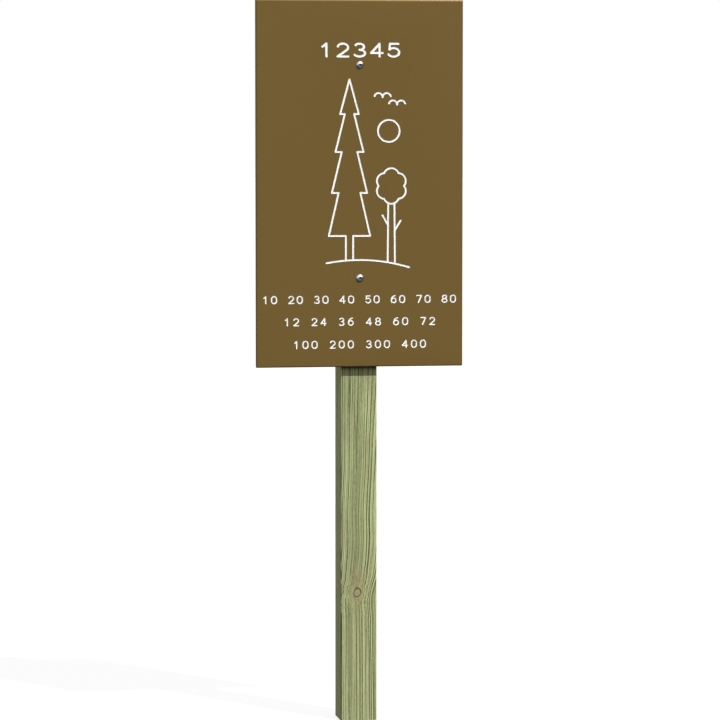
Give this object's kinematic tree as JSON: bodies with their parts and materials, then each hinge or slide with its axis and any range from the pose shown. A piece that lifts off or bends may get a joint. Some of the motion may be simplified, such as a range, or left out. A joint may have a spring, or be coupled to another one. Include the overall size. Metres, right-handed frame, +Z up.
{
  "type": "park interpretation sign",
  "caption": "Upright flat sign board with routed white markings, through-bolted to the front of a single square timber post.",
  "frame": {"origin": "centre of the post's square foot", "axes": "+Z up along the post, the board's front faces -Y, +X to the viewer's right"},
  "size_m": [0.4, 0.104, 1.385],
  "materials": {
    "timber": "planed pressure-treated softwood, greenish, open grain with knots",
    "board": "matt brown solid sheet with fine texture and white-filled routed grooves",
    "stainless": "bright stainless steel, smooth domed heads",
    "insert": "natural off-white nylon"
  },
  "bodies": {
    "root": {"timber_post": "timber", "sign_board": "board", "upper_bolt": "stainless", "lower_bolt": "stainless", "upper_washer": "stainless", "lower_washer": "stainless", "upper_lock_nut": "stainless", "lower_lock_nut": "stainless", "upper_nut_insert": "insert", "lower_nut_insert": "insert"}
  },
  "joints": []
}
